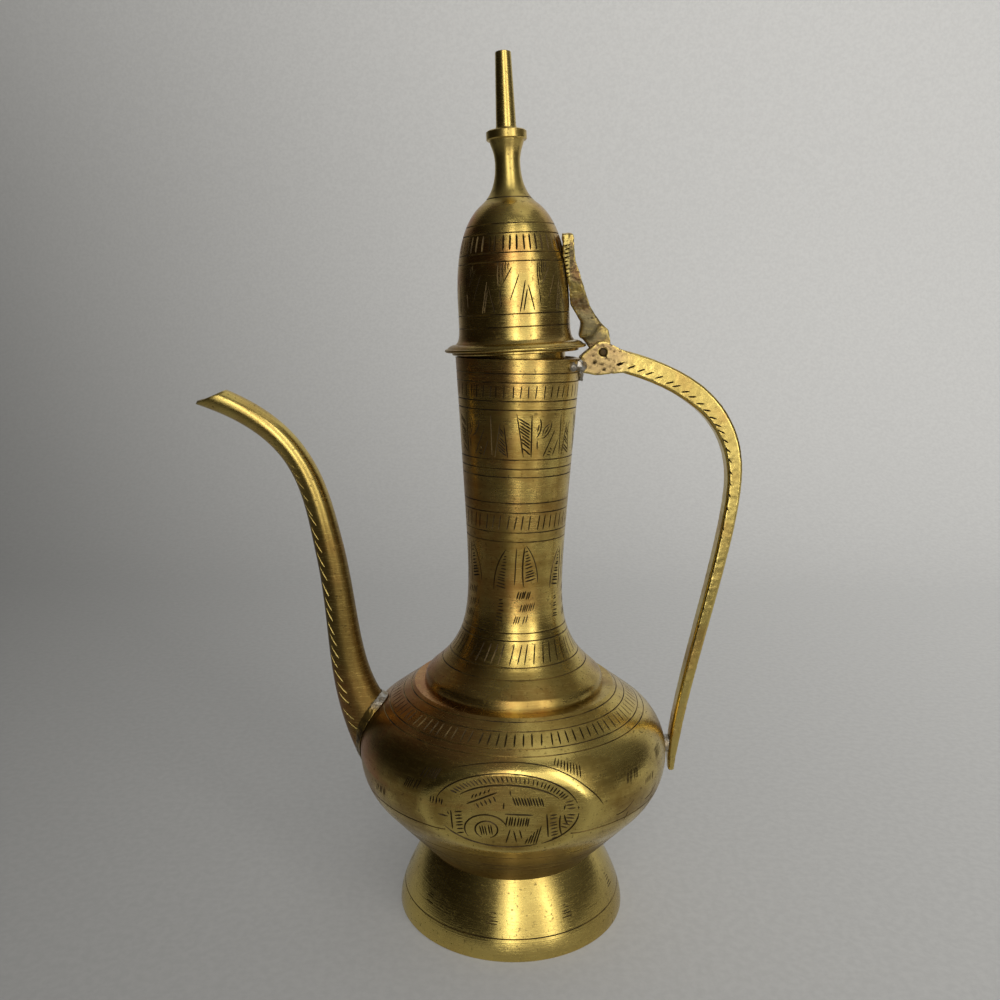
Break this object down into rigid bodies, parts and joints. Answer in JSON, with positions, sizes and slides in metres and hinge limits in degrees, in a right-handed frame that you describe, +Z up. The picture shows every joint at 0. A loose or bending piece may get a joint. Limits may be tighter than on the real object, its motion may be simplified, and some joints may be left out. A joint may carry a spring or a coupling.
{
  "type": "ewer",
  "caption": "Engraved brass ewer with a flared foot, a squat belly, a tall neck, a curved spout, a strap handle and a hinged domed lid with a finial and a thumb lever.",
  "frame": {"origin": "centre of the foot's ring, on the surface that the ewer stands on", "axes": "+Z up along the vessel's axis, -X towards the spout, +X towards the handle, +Y towards the far side in the picture"},
  "size_m": [0.1898, 0.1038, 0.3005],
  "materials": {
    "spun_brass": "aged satin with dark engraving",
    "red_brass": "aged satin with a copper tint",
    "cast_brass": "rough cast, worn bright on its edges",
    "solder": "dull grey soft solder"
  },
  "bodies": {
    "vessel": {"foot": "spun_brass", "bowl": "spun_brass", "shoulder": "spun_brass", "neck": "spun_brass", "spout_front": "spun_brass", "spout_back": "spun_brass", "spout_solder": "solder", "handle": "cast_brass", "handle_neck_solder": "solder", "handle_belly_solder": "solder", "hinge_pin": "cast_brass"},
    "lid": {"lid_flange": "spun_brass", "lid_dome": "red_brass", "finial_stem": "spun_brass", "finial_spike": "spun_brass", "thumb_lever": "cast_brass"}
  },
  "joints": [
    {"name": "lid_hinge", "type": "hinge", "parent": "vessel", "child": "lid", "pos_m": [0.0286, 0, 0.2044], "axis": [0, 1, 0], "range_deg": [0, 85]}
  ]
}
